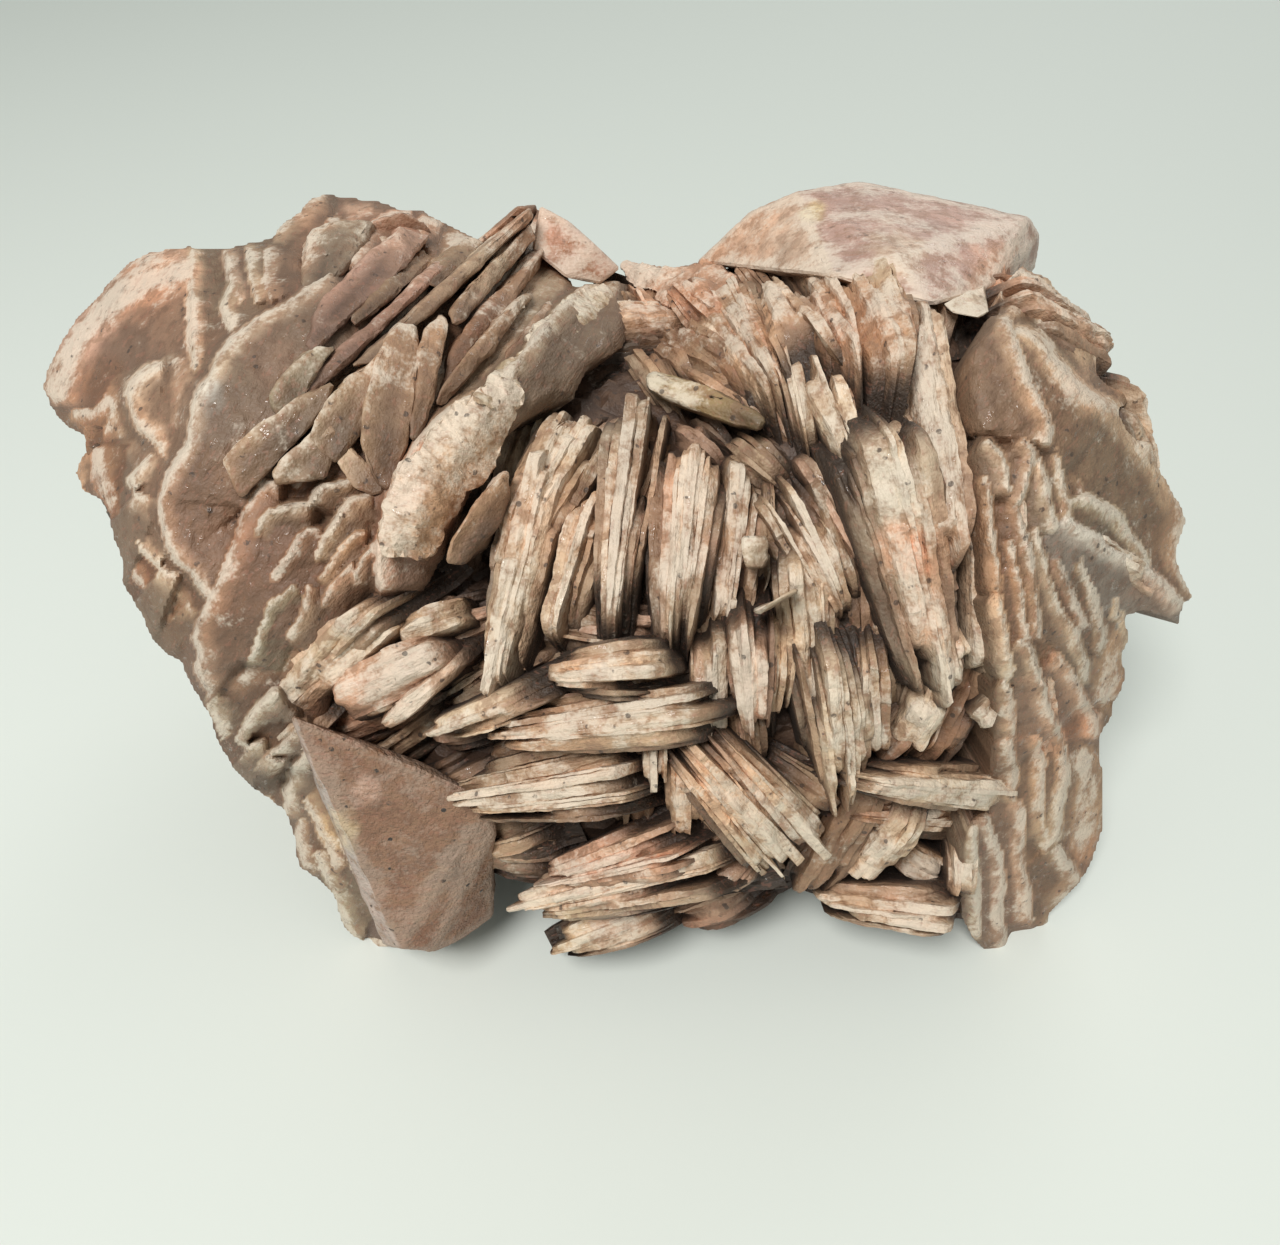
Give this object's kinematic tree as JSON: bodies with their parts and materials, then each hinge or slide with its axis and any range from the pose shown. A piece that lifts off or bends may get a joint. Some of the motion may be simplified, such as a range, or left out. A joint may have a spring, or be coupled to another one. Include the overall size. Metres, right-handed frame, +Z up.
{
  "type": "mineral specimen",
  "caption": "Natural cluster of intergrown bladed barite crystals, in sheaves of thin parallel plates with broader tabular crystals, resting on a broken flat underside.",
  "frame": {"origin": "middle of the bounding box on the level of the flat underside", "axes": "+X to the right of the displayed side, -Y towards the viewer of the displayed side, +Z up"},
  "size_m": [0.1376, 0.0887, 0.0787],
  "materials": {
    "barite": "frosted, slightly translucent at thin edges"
  },
  "bodies": {
    "root": {"barite_cluster": "barite"}
  },
  "joints": []
}
